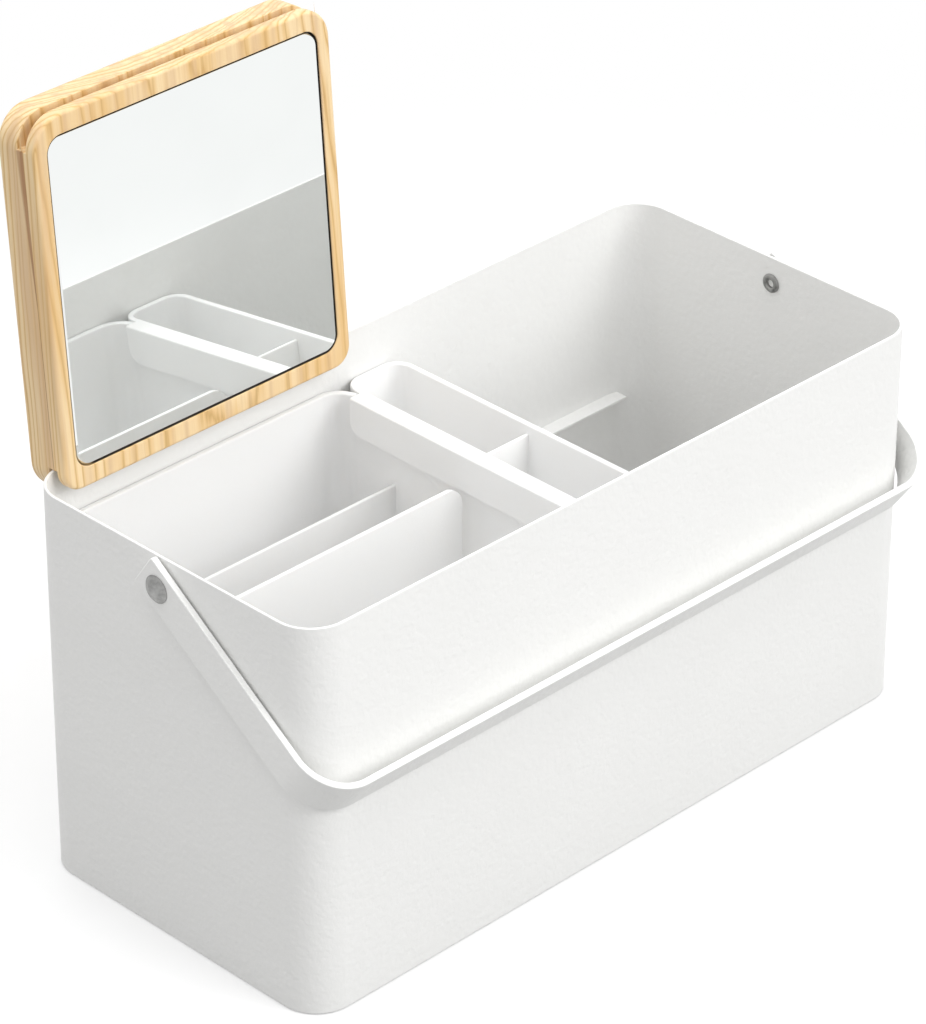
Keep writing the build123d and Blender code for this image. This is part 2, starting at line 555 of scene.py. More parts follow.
class Board:
    """Lays shader nodes out on one tree and wires them."""

    def __init__(self, tree: bpy.types.NodeTree) -> None:
        """Takes hold of an empty tree.

        Args:
            tree: The material's, world's or group's node tree.
        """
        self.tree = tree
        self.count = 0

    def add(self, kind: str, sockets: dict[str, Any] | None = None, **settings: Any) -> bpy.types.Node:
        """Adds a node.

        Args:
            kind: The node's type without its ShaderNode prefix.
            sockets: Values or sockets for its inputs, by name or by number in words.
            settings: Its own properties.

        Returns:
            The node.
        """
        node = self.tree.nodes.new(kind if kind.startswith("Node") else f"ShaderNode{kind}")
        node.location = (200 * (self.count % 12), -260 * (self.count // 12))
        self.count += 1
        for name, value in settings.items():
            setattr(node, name, value)
        for name, value in (sockets or {}).items():
            socket = node.inputs[int(name)] if name.isdigit() else node.inputs[name]
            if isinstance(value, Socket):
                self.tree.links.new(value, socket)
            else:
                socket.default_value = value
        return node

    def link(self, value: Socket, node: bpy.types.Node, socket: str) -> None:
        """Wires a value to a node.

        Args:
            value: The value.
            node: The node that takes it.
            socket: The name of the node's input.
        """
        self.tree.links.new(value, node.inputs[socket])

    def stretched(self, places: Socket, scale: Point) -> Socket:
        """Stretches places along each axis.

        Args:
            places: The places.
            scale: What each axis is multiplied by.

        Returns:
            The stretched places.
        """
        return self.add("Mapping", {"Vector": places, "Scale": scale}).outputs[0]

    def math(self, operation: str, *values: Any) -> Socket:
        """Adds a Math node.

        Args:
            operation: Its operation.
            values: Numbers or sockets for its inputs.

        Returns:
            Its output.
        """
        sockets = {str(number): value for number, value in enumerate(values)}
        return self.add("Math", sockets, operation=operation).outputs[0]

    def product(self, first: Socket, *others: Any) -> Socket:
        """Multiplies values.

        Args:
            first: The first value.
            others: The other values or numbers.

        Returns:
            Their product.
        """
        for other in others:
            first = self.math("MULTIPLY", first, other)
        return first

    def ramp(self, value: Socket, stops: Sequence[tuple[float, Point]]) -> Socket:
        """Adds a Color Ramp node.

        Args:
            value: Where on the ramp to read.
            stops: Place and linear colour of each stop.

        Returns:
            Its colour output.
        """
        node = self.add("ValToRGB", {"Fac": value})
        elements = node.color_ramp.elements
        while len(elements) < len(stops):
            elements.new(0.5)
        for element, (place, color) in zip(elements, stops):
            element.position = place
            element.color = (*color, 1.0)
        return node.outputs["Color"]

    def spread(self, value: Socket, low: float, high: float, to_low: float, to_high: float) -> Socket:
        """Maps a value from one range to another, smoothly and within its limits.

        Args:
            value: The value.
            low: Its lower limit.
            high: Its upper limit.
            to_low: What the lower limit becomes.
            to_high: What the upper limit becomes.

        Returns:
            The mapped value.
        """
        sockets = {"Value": value, "From Min": low, "From Max": high, "To Min": to_low, "To Max": to_high}
        return self.add("MapRange", sockets, interpolation_type="SMOOTHSTEP").outputs["Result"]

    def noise(self, vector: Socket, scale: float, detail: float = 2.0, rough: float = 0.5) -> Socket:
        """Adds a Noise Texture node.

        Args:
            vector: Where to read it.
            scale: Its scale, in features per metre.
            detail: Its octaves.
            rough: How strong the finer octaves are.

        Returns:
            Its value.
        """
        sockets = {"Vector": vector, "Scale": scale, "Detail": detail, "Roughness": rough}
        return self.add("TexNoise", sockets, noise_dimensions="3D").outputs["Fac"]

    def mix(self, fac: Any, first: Any, second: Any) -> Socket:
        """Mixes two colours.

        Args:
            fac: The share of the second.
            first: The first colour or socket.
            second: The second colour or socket.

        Returns:
            The mixed colour.
        """
        node = self.add("Mix", data_type="RGBA")
        share, *colors = (socket for socket in node.inputs if socket.enabled)
        for socket, value in zip((share, *colors), (fac, first, second)):
            if isinstance(value, Socket):
                self.tree.links.new(value, socket)
            else:
                socket.default_value = value if socket is share else (*value, 1.0)
        return next(socket for socket in node.outputs if socket.enabled)


class FinishBoard(Board):
    """A material's board, with what every finish needs besides its colour."""

    def wear(self, marks: bpy.types.Node, shader: bpy.types.Node, unmarked: float, wiped: float) -> None:
        """Drives the roughness from the handling marks.

        Args:
            marks: The handling group's node.
            shader: The material's shader.
            unmarked: The roughness where nothing was wiped.
            wiped: The roughness where it was.
        """
        self.link(self.spread(marks.outputs["Wipe"], 0.0, 1.0, unmarked, wiped), shader, "Roughness")

    def raise_skin(self, height: Socket, shader: bpy.types.Node, strength: float, depth: float) -> None:
        """Raises the surface by a height.

        Args:
            height: The height, from 0 to 1.
            shader: The material's shader.
            strength: How strongly it shows.
            depth: What a height of 1 stands for, in metres.
        """
        bump = self.add("Bump", {"Height": height, "Strength": strength, "Distance": depth})
        self.link(bump.outputs[0], shader, "Normal")


def new_group(name: str, inputs: dict[str, float], outputs: Sequence[str]) -> tuple[Board, Any, Any]:
    """Starts a shader node group of plain values.

    Args:
        name: The group's name.
        inputs: Its value inputs and their defaults; a Vector input is added before them.
        outputs: Its value outputs.

    Returns:
        The group's board, its input node and its output node.
    """
    tree = bpy.data.node_groups.new(name, "ShaderNodeTree")
    tree.interface.new_socket("Vector", in_out="INPUT", socket_type="NodeSocketVector")
    for title, default in inputs.items():
        socket = tree.interface.new_socket(title, in_out="INPUT", socket_type="NodeSocketFloat")
        socket.default_value = default
    for title in outputs:
        tree.interface.new_socket(title, in_out="OUTPUT", socket_type="NodeSocketFloat")
    board = Board(tree)
    return board, board.add("NodeGroupInput"), board.add("NodeGroupOutput")


def build_skin_group() -> bpy.types.NodeTree:
    """Builds the fine pebbled skin that the powder coat and the moulded plastics share.

    Returns:
        The group: Vector, Grain and Pebble size in, Height and Mottle out.
    """
    sizes = {"Grain": 700.0, "Pebble": 260.0}
    board, inside, outside = new_group("pebbled_skin", sizes, ("Height", "Mottle"))
    vector = inside.outputs["Vector"]
    grain = board.add("TexNoise", {"Vector": vector, "Scale": inside.outputs["Grain"], "Detail": 2.0})
    pebble = board.add(
        "TexVoronoi", {"Vector": vector, "Scale": inside.outputs["Pebble"]}, feature="SMOOTH_F1"
    )
    drift = board.add("TexNoise", {"Vector": vector, "Scale": 9.0, "Detail": 3.0})
    pebbles = board.math("MULTIPLY", pebble.outputs["Distance"], 0.6)
    height = board.math("ADD", board.math("MULTIPLY", grain.outputs["Fac"], 0.55), pebbles)
    board.link(height, outside, "Height")
    board.link(drift.outputs["Fac"], outside, "Mottle")
    return board.tree


def build_handling_group() -> bpy.types.NodeTree:
    """Builds the faint wipe marks and dust that handling leaves on every finish.

    Returns:
        The group: Vector and Scale in, Wipe and Dust out.
    """
    board, inside, outside = new_group("handling_marks", {"Scale": 30.0}, ("Wipe", "Dust"))
    vector = inside.outputs["Vector"]
    slant = {"Vector": vector, "Rotation": (0.3, 0.5, 0.7), "Scale": (1.0, 0.25, 1.0)}
    stretched = board.add("Mapping", slant)
    wipe = board.add(
        "TexNoise", {"Vector": stretched.outputs[0], "Scale": inside.outputs["Scale"], "Detail": 4.0}
    )
    specks = board.add("TexVoronoi", {"Vector": vector, "Scale": 90.0}, feature="F1")
    dust = board.spread(specks.outputs["Distance"], 0.03, 0.07, 1.0, 0.0)
    board.link(board.spread(wipe.outputs["Fac"], 0.35, 0.7, 0.0, 1.0), outside, "Wipe")
    board.link(dust, outside, "Dust")
    return board.tree


@dataclass(frozen=True)
class Groups:
    """The node groups that several finishes use."""

    skin: bpy.types.NodeTree
    handling: bpy.types.NodeTree


def begin_material(name: str) -> tuple[bpy.types.Material, FinishBoard, Any, Socket]:
    """Starts a material on the piece's own coordinates.

    Args:
        name: The material's name.

    Returns:
        The material, its board, its Principled shader and the Object coordinates.
    """
    material = bpy.data.materials.new(name)
    material.use_nodes = True
    material.node_tree.nodes.clear()
    board = FinishBoard(material.node_tree)
    shader = board.add("BsdfPrincipled")
    board.add("OutputMaterial", {"Surface": shader.outputs[0]})
    return material, board, shader, board.add("TexCoord").outputs["Object"]


@dataclass(frozen=True)
class SkinnedFinish:
    """A pale finish with a fine pebbled skin: powder coat, moulded plastic or nylon."""

    name: str
    color: Point
    shade: Point
    roughness: float
    specular: float
    grain: float
    pebble: float
    skin_depth: float
    coat: float = 0.0
    subsurface: float = 0.0

    def build(self, groups: Groups) -> bpy.types.Material:
        """Builds the material.

        Args:
            groups: The shared node groups.

        Returns:
            The material.
        """
        material, board, shader, place = begin_material(self.name)
        sizes = {"Vector": place, "Grain": self.grain, "Pebble": self.pebble}
        skin = board.add("Group", sizes, node_tree=groups.skin)
        marks = board.add("Group", {"Vector": place}, node_tree=groups.handling)
        mottled = board.mix(skin.outputs["Mottle"], self.color, self.shade)
        pitted = board.spread(skin.outputs["Height"], 0.2, 0.75, 0.0, 1.0)
        shaded = board.mix(board.math("MULTIPLY", pitted, 0.35), mottled, self.shade)
        board.link(shaded, shader, "Base Color")
        board.wear(marks, shader, self.roughness - 0.05, self.roughness + 0.06)
        board.raise_skin(skin.outputs["Height"], shader, 1.0, self.skin_depth)
        shader.inputs["Specular IOR Level"].default_value = self.specular
        shader.inputs["Coat Weight"].default_value = self.coat
        shader.inputs["Coat Roughness"].default_value = 0.3
        shader.inputs["Subsurface Weight"].default_value = self.subsurface
        shader.inputs["Subsurface Radius"].default_value = (0.9, 0.85, 0.8)
        shader.inputs["Subsurface Scale"].default_value = 0.002
        return material


@dataclass(frozen=True)
class SteelFinish:
    """Plain rivet steel with turning marks and a little tarnish."""

    name: str = "rivet_steel"
    bright: Point = (0.38, 0.38, 0.372)
    dull: Point = (0.26, 0.26, 0.255)
    roughness: float = 0.40

    def build(self) -> bpy.types.Material:
        """Builds the material.

        Returns:
            The material.
        """
        material, board, shader, place = begin_material(self.name)
        tarnish = board.noise(place, 420.0, 4.0, 0.65)
        fine = board.noise(place, 2600.0, 3.0)
        stained = board.spread(tarnish, 0.30, 0.75, 0.0, 1.0)
        board.link(board.mix(stained, self.bright, self.dull), shader, "Base Color")
        rough = board.spread(fine, 0.2, 0.8, self.roughness - 0.06, self.roughness + 0.12)
        board.link(rough, shader, "Roughness")
        board.raise_skin(fine, shader, 0.5, 0.02 * MM)
        shader.inputs["Metallic"].default_value = 1.0
        return material


@dataclass(frozen=True)
class PineFinish:
    """Flat-sawn pine under clear lacquer; the grain runs up the board and the rings cross its ends."""

    turn: float
    origin: Point
    name: str = "pine"
    pith_across: float = 8 * MM
    pith_behind: float = 139 * MM
    ring_width: float = 2.3 * MM
    early: Point = (0.860, 0.665, 0.400)
    middle: Point = (0.780, 0.545, 0.265)
    late: Point = (0.560, 0.340, 0.125)
    amber: Point = (0.690, 0.415, 0.145)
    rosy: Point = (0.640, 0.420, 0.235)
    streak: Point = (0.36, 0.17, 0.06)
    streak_front: float = -6.1 * MM
    streak_side: float = -70 * MM
    streak_foot: float = 0.5 * MM
    streak_head: float = 4.4 * MM
    # Painted shade: a near-black tone for the shade in the narrow gap round the mirror, laid on the recess
    # walls between these two depths.
    glue: Point = (0.045, 0.035, 0.030)
    glue_depths: tuple[float, float] = (-3.6 * MM, -0.35 * MM)
    fade: float = 0.3 * MM
    roughness: float = 0.42

    def build(
        self, groups: Groups, streak_span: tuple[float, float], recess: tuple[float, float, float]
    ) -> bpy.types.Material:
        """Builds the material.

        Args:
            groups: The shared node groups.
            streak_span: The heights between which the dark streak on the left side tapers.
            recess: The mirror recess's half width, its lowest and its highest height.

        Returns:
            The material.
        """
        material, board, shader, place = begin_material(self.name)
        on_board = board.add(
            "Mapping",
            {"Vector": place, "Location": tuple(self.origin), "Rotation": (self.turn, 0, 0)},
            vector_type="TEXTURE",
        ).outputs[0]
        rings = self._rings(board, on_board)
        grain = board.ramp(
            rings,
            (
                (0.0, self.middle),
                (0.18, self.early),
                (0.50, self.early),
                (0.76, self.middle),
                (0.90, self.late),
                (1.0, self.middle),
            ),
        )
        stretched = board.stretched(on_board, (1.0, 0.035, 1.0))
        slow = board.stretched(on_board, (1.0, 0.25, 1.0))
        fibre = board.noise(stretched, 1500.0, 3.0, 0.6)
        pores = board.noise(stretched, 520.0, 2.0)
        fibred = board.mix(board.spread(fibre, 0.35, 0.75, 0.0, 0.35), grain, self.middle)
        porous = board.mix(board.spread(pores, 0.56, 0.74, 0.0, 0.30), fibred, self.late)
        patches = board.spread(board.noise(slow, 26.0, 2.0), 0.40, 0.70, 0.0, 0.55)
        warm = board.mix(patches, porous, self.amber)
        bands = board.stretched(on_board, (1.0, 0.03, 1.0))
        blush = board.spread(board.noise(bands, 190.0, 2.0), 0.46, 0.70, 0.0, 0.60)
        patchy = board.mix(blush, warm, self.rosy)
        stain = board.math("MULTIPLY", self._streak_mask(board, on_board, streak_span), 0.95)
        broken = board.math("MULTIPLY", stain, board.spread(fibre, 0.25, 0.6, 0.75, 1.0))
        streaked = board.mix(broken, patchy, self.streak)
        # Painted shade on the recess walls, standing for the shade in the gap round the mirror.
        color = board.mix(self._recess_mask(board, on_board, recess), streaked, self.glue)
        board.link(color, shader, "Base Color")
        marks = board.add("Group", {"Vector": place}, node_tree=groups.handling)
        board.wear(marks, shader, self.roughness - 0.04, self.roughness + 0.08)
        board.raise_skin(fibre, shader, 0.5, 0.06 * MM)
        shader.inputs["Coat Weight"].default_value = 0.12
        shader.inputs["Coat Roughness"].default_value = 0.28
        return material

    def _rings(self, board: Board, on_board: Socket) -> Socket:
        """Works out how far through its growth ring a place lies.

        Args:
            board: The material's board.
            on_board: Places across, up and out of the board.

        Returns:
            0 at the ring's pale start, 1 at its dark end.
        """
        slow = board.stretched(on_board, (1.0, 0.3, 1.0))
        wander = board.product(board.math("SUBTRACT", board.noise(slow, 17.0, 3.0), 0.5), 9 * MM)
        jitter = board.stretched(on_board, (1.0, 0.05, 1.0))
        ragged = board.product(board.math("SUBTRACT", board.noise(jitter, 300.0, 2.0), 0.5), 1.6 * MM)
        parts = board.add("SeparateXYZ", {"Vector": on_board})
        across, up, out = parts.outputs
        drift = board.math("MULTIPLY", up, 0.06)
        from_pith = board.math("ADD", board.math("SUBTRACT", across, self.pith_across), drift)
        behind = board.math("ADD", out, self.pith_behind)
        square = board.math("ADD", board.math("POWER", from_pith, 2.0), board.math("POWER", behind, 2.0))
        radius = board.math("ADD", board.math("ADD", board.math("SQRT", square), wander), ragged)
        uneven = board.add(
            "TexNoise", {"W": radius, "Scale": 130.0, "Detail": 1.0}, noise_dimensions="1D"
        ).outputs["Fac"]
        turns = board.math("DIVIDE", radius, self.ring_width)
        return board.math("FRACT", board.math("ADD", turns, board.product(uneven, 2.2)))

    def _streak_mask(self, board: Board, on_board: Socket, span: tuple[float, float]) -> Socket:
        """Masks the dark streak that runs down the left side from the slot in the head.

        Args:
            board: The material's board.
            on_board: Places across, up and out of the board.
            span: The heights of the streak's thin foot and of its wide head.

        Returns:
            The mask.
        """
        across, up, out = board.add("SeparateXYZ", {"Vector": on_board}).outputs
        low, high = span
        taper = {"From Min": low, "From Max": high, "To Min": self.streak_foot, "To Max": self.streak_head}
        width = board.add("MapRange", {"Value": up, **taper}).outputs["Result"]
        front = board.spread(out, self.streak_front - 0.2 * MM, self.streak_front + 0.1 * MM, 1.0, 0.0)
        depth = board.math("SUBTRACT", self.streak_front, out)
        back = board.spread(board.math("DIVIDE", depth, width), 0.55, 1.05, 1.0, 0.0)
        side = board.spread(across, self.streak_side - 1 * MM, self.streak_side + 1 * MM, 1.0, 0.0)
        below = board.spread(up, high - 0.2 * MM, high + 0.2 * MM, 1.0, 0.0)
        return board.product(front, back, board.product(side, below))

    def _recess_mask(self, board: Board, on_board: Socket, recess: tuple[float, float, float]) -> Socket:
        """Masks the recess's walls for painted shade: the dark of the narrow gap round the mirror.

        Args:
            board: The material's board.
            on_board: Places across, up and out of the board.
            recess: The recess's half width, its lowest and its highest height.

        Returns:
            The mask.
        """
        across, up, out = board.add("SeparateXYZ", {"Vector": on_board}).outputs
        half_width, foot, head = recess
        middle, half_height = (foot + head) / 2, (head - foot) / 2
        edge = 0.1 * MM
        within = board.spread(board.math("ABSOLUTE", across), half_width, half_width + edge, 1.0, 0.0)
        away = board.math("ABSOLUTE", board.math("SUBTRACT", up, middle))
        between_ends = board.spread(away, half_height, half_height + edge, 1.0, 0.0)
        rear, face = self.glue_depths
        # The painted shade is full below the face and weaker on the left side of the recess.
        deep = board.spread(out, face - 0.35 * MM, face, 1.0, 0.0)
        weak_shade_side = board.spread(across, 6 * MM - half_width, 9 * MM - half_width, 0.25, 1.0)
        front = board.spread(out, rear, rear + self.fade, 0.0, 1.0)
        return board.product(within, between_ends, deep, weak_shade_side, front)


@dataclass(frozen=True)
class MirrorFinish:
    """Silvered glass: the bright face, and the ground edge round it."""

    silver: Point = (0.915, 0.935, 0.925)
    # edge is painted shade, the dark of the narrow gap round the mirror; pale_edge is the ground glass's own
    # tone.
    edge: Point = (0.10, 0.12, 0.115)
    pale_edge: Point = (0.62, 0.64, 0.63)

    def build_face(self, groups: Groups) -> bpy.types.Material:
        """Builds the silvered face.

        Args:
            groups: The shared node groups.

        Returns:
            The material.
        """
        material, board, shader, place = begin_material("mirror_face")
        marks = board.add("Group", {"Vector": place}, node_tree=groups.handling)
        hazed = tuple(part * 0.985 for part in self.silver)
        board.link(board.mix(marks.outputs["Wipe"], self.silver, hazed), shader, "Base Color")
        board.wear(marks, shader, 0.004, 0.02)
        shader.inputs["Metallic"].default_value = 1.0
        return material

    def build_edge(self, unshaded_x: float) -> bpy.types.Material:
        """Builds the ground edge: painted shade for the dark gap round the mirror, and the glass's own pale
        tone on the side where no shade is painted.

        Args:
            unshaded_x: The place of the side without painted shade.

        Returns:
            The material.
        """
        material, board, shader, place = begin_material("mirror_edge")
        grind = board.noise(place, 1800.0, 3.0)
        # Painted shade: the ground edge is darkened to stand for the shade in the gap round the mirror.
        gap_shaded = board.mix(grind, self.edge, tuple(part * 2.2 for part in self.edge))
        side = board.add("SeparateXYZ", {"Vector": place}).outputs[0]
        unmarked = board.spread(side, unshaded_x + 1 * MM, unshaded_x + 3 * MM, 1.0, 0.0)
        board.link(board.mix(unmarked, gap_shaded, self.pale_edge), shader, "Base Color")
        rough = board.spread(grind, 0.2, 0.8, 0.3, 0.55)
        board.link(rough, shader, "Roughness")
        return material


# ---- the box --------------------------------------------------------------------------


@dataclass
class SteelBox:
    """The bent wall, its base plate and the two rails, all powder coated."""

    coat: bpy.types.Material
    sheet: float = 1.2 * MM
    corner: float = 16 * MM
    corner_steps: int = 22
    rim_round: float = 0.4 * MM
    weld_gap: float = 0.05 * MM
    base_bend: float = 1 * MM
    rail_flange_half: float = 140 * MM
    burr_round: float = 0.2 * MM

    def build(self) -> None:
        """Makes every steel piece of the box."""
        self._wall()
        self._base_plate()
        for node in ("front_rail", "back_rail"):
            self._rail(node)

    def _wall(self) -> None:
        """Makes the wall: a block with rounded uprights, opened at both ends and thinned to sheet."""
        low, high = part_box("body_wall")
        wall = Workpiece.block("wall_band", low, high)
        wall.pick(Kind.EDGES, runs_along(2)).bevel(self.corner, self.corner_steps)
        wall.pick(Kind.FACES, lambda face: abs(face.normal.z) > 0.9).remove(Kind.FACES)
        wall.thicken(self.sheet)
        wall.soften(self.rim_round, 4, 60)
        wall.smooth(30)
        wall.finish(Body.BOX, Slot.POWDER_COAT, "body_wall", self.coat)

    def _base_plate(self) -> None:
        """Makes the floor pan, its flange turned up inside the wall."""
        low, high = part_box("base_plate")
        plate = Workpiece.block("base_pan", low, high)
        corner = self.corner - self.sheet - self.weld_gap
        plate.pick(Kind.EDGES, runs_along(2)).bevel(corner, self.corner_steps)
        plate.pick(Kind.EDGES, lies_at(2, low[2])).bevel(self.base_bend, 4)
        plate.pick(Kind.FACES, lies_at(2, high[2])).remove(Kind.FACES)
        plate.thicken(self.sheet)
        plate.soften(self.burr_round, 2, 60)
        plate.smooth(30)
        plate.finish(Body.BOX, Slot.POWDER_COAT, "base_plate", self.coat)

    def _rail(self, node: str) -> None:
        """Makes one rail: the ledge on top and the shorter flange below it against the wall.

        Args:
            node: The rail's node.
        """
        low, high = (Vector(corner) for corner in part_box(node))
        side = 1.0 if low.y > 0 else -1.0
        wall_y = high.y if side > 0 else low.y
        flange_y = wall_y - side * self.sheet
        ledge = Workpiece.block(node + "_strip", (low.x, low.y, high.z - self.sheet), high)
        arc_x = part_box("body_wall")[1][0] - self.corner
        reach = self.corner - self.sheet
        past = high.x - arc_x
        end_y = wall_y - side * (reach - (reach**2 - past**2) ** 0.5)
        for end in (-1.0, 1.0):
            along = Vector((end * past, end_y - wall_y, 0))
            normal = Vector((-along.y, along.x, 0))
            if normal.y * side < 0:
                normal.negate()
            ledge.bisect((end * arc_x, wall_y, high.z), normal, drop=True)
            ledge.bisect((end * self.rail_flange_half, 0, 0), (1, 0, 0))
        ledge.bisect((0, flange_y, 0), (0, 1, 0))
        flange_low, flange_high = min(flange_y, wall_y), max(flange_y, wall_y)
        foot = both(
            lies_at(2, high.z - self.sheet),
            between(0, -self.rail_flange_half, self.rail_flange_half),
            between(1, flange_low, flange_high),
        )
        ledge.pick(Kind.FACES, foot).extrude((0, 0, low.z - high.z + self.sheet))
        ledge.merge()
        ledge.soften(self.burr_round, 2, 50)
        ledge.smooth(30)
        ledge.finish(Body.BOX, Slot.POWDER_COAT, node, self.coat)


# ---- the handle -------------------------------------------------------------------------


@dataclass
class StrapHandle:
    """The flat strap bent to a U, its two domed rivets and the washers behind it."""

    coat: bpy.types.Material
    steel: bpy.types.Material
    nylon: bpy.types.Material
    rest_angle: float = 35.0
    end_margin: float = 9 * MM
    end_round: float = 1.2 * MM
    thickness: float = 2.6 * MM
    inner_bend: float = 17.5 * MM
    width: float = 16.5 * MM
    reach: float = 97.213 * MM
    edge_round: float = 0.45 * MM
    bend_steps: int = 20
    head_radius: float = 5.5 * MM
    head_height: float = 2.6 * MM
    shank_radius: float = 2.5 * MM
    grip: float = 5.0 * MM
    roll_radius: float = 4 * MM
    roll_height: float = 1.3 * MM
    bore_radius: float = 1.6 * MM
    bore_depth: float = 3.6 * MM
    washer_radius: float = 6 * MM
    washer_thickness: float = 1 * MM
    washer_bore: float = 2.55 * MM
    turn_steps: int = 48
    pivot: Vector = field(init=False)

    def __post_init__(self) -> None:
        """Finds the pivot's height from the rivet's node."""
        low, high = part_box("left_pivot_rivet")
        self.pivot = Vector((0, 0, (low[2] + high[2]) / 2))

    def build(self) -> None:
        """Makes the strap and both pivots."""
        self._strap()
        for name, side in (("left", -1.0), ("right", 1.0)):
            self._rivet(name, side)
            self._washer(name, side)

    def _strap(self) -> None:
        """Makes the strap: one arm, a bend, the crossbar, a bend and the other arm, then its thickness."""
        outer_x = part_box("handle_strap")[1][0]
        bend = self.inner_bend + self.thickness
        arm_end = self.reach + self.thickness - bend
        length = arm_end + self.end_margin
        middle = (-outer_x, self.end_margin - length / 2, 0)
        strap = Workpiece.sheet("strap_handle", middle, (self.width, length), (0, radians(90), 0))
        strap.pick(Kind.EDGES, lies_at(1, -arm_end))
        strap.spin(pi / 2, (-outer_x + bend, -arm_end, 0), (0, 0, 1), self.bend_steps)
        strap.extrude((2 * (outer_x - bend), 0, 0))
        strap.spin(pi / 2, (outer_x - bend, -arm_end, 0), (0, 0, 1), self.bend_steps)
        strap.extrude((0, length, 0))
        strap.merge()
        strap.pick(Kind.POINTS, lies_at(1, self.end_margin)).bevel(self.end_round, 5, points=True)
        self._face_outwards(strap)
        strap.thicken(self.thickness)
        strap.soften(self.edge_round, 3, 50)
        strap.smooth(32)
        tilt = Matrix.Translation(self.pivot) @ Matrix.Rotation(radians(self.rest_angle), 4, "X")
        strap.place(tilt)
        strap.finish(Body.HANDLE, Slot.POWDER_COAT, "handle_strap", self.coat)

    @staticmethod
    def _face_outwards(strap: Workpiece) -> None:
        """Turns the open strip's faces so that they look away from the middle of the U."""
        strap.pick(Kind.FACES, everything)
        mesh = strap.obj.data
        inward = sum(1 for face in mesh.polygons if face.normal.dot(Vector(face.center)) < 0)
        if inward * 2 > len(mesh.polygons):
            with strap.editing():
                bpy.ops.mesh.flip_normals()

    def _rivet(self, name: str, side: float) -> None:
        """Makes one rivet: a dome outside, a plain shank, and the end rolled over inside.

        Args:
            name: Left or right.
            side: -1 at the left end wall, 1 at the right.
        """
        node = f"{name}_pivot_rivet"
        sphere = (self.head_radius**2 + self.head_height**2) / (2 * self.head_height)
        dome = []
        for part in (0.08, 0.25, 0.42, 0.58, 0.72, 0.84, 0.93, 0.985):
            radius = self.head_radius * part
            dome.append((radius, (sphere**2 - radius**2) ** 0.5 - sphere + self.head_height))
        skirt = [(self.head_radius, 0.14 * MM), (self.head_radius * 0.985, 0.0)]
        foot = -self.grip - self.roll_height
        shank = [(self.shank_radius, 0.0), (self.shank_radius, -self.grip)]
        roll = [
            (self.roll_radius * 0.96, -self.grip),
            (self.roll_radius, -self.grip - 0.3 * MM),
            (self.roll_radius * 0.98, foot + 0.55 * MM),
            (self.roll_radius * 0.88, foot + 0.18 * MM),
            (self.roll_radius * 0.72, foot),
            (self.roll_radius * 0.56, foot + 0.06 * MM),
            (self.roll_radius * 0.46, foot + 0.25 * MM),
            (self.bore_radius, foot + 0.6 * MM),
            (self.bore_radius, foot + self.bore_depth),
        ]
        rivet = turned(name + "_rivet", dome + skirt + shank + roll, self.turn_steps)
        rivet.smooth(38)
        head_x = side * (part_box("handle_strap")[1][0] + 0.1 * MM)
        turn = Matrix.Rotation(side * pi / 2, 4, "Y")
        rivet.place(Matrix.Translation((head_x, 0, self.pivot.z)) @ turn)
        rivet.finish(Body.BOX, Slot.RIVET_STEEL, node, self.steel)

    def _washer(self, name: str, side: float) -> None:
        """Makes one spacer washer between the wall and the strap.

        Args:
            name: Left or right.
            side: -1 at the left end wall, 1 at the right.
        """
        node = f"{name}_spacer_washer"
        edge = 0.12 * MM
        inner, outer, thick = self.washer_bore, self.washer_radius, self.washer_thickness
        rings = [
            (inner, -edge), (inner + edge, 0.0), (outer - edge, 0.0), (outer, -edge),
            (outer, -thick + edge), (outer - edge, -thick), (inner + edge, -thick),
            (inner, -thick + edge), (inner, -edge),
        ]
        washer = drawn_round(name + "_washer", rings, self.turn_steps).merge()
        washer.smooth(50)
        outer_x = side * (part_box("body_wall")[1][0] + thick)
        turn = Matrix.Rotation(side * pi / 2, 4, "Y")
        washer.place(Matrix.Translation((outer_x, 0, self.pivot.z)) @ turn)
        washer.finish(Body.BOX, Slot.WASHER_NYLON, node, self.nylon)


# ---- the lid ----------------------------------------------------------------------------


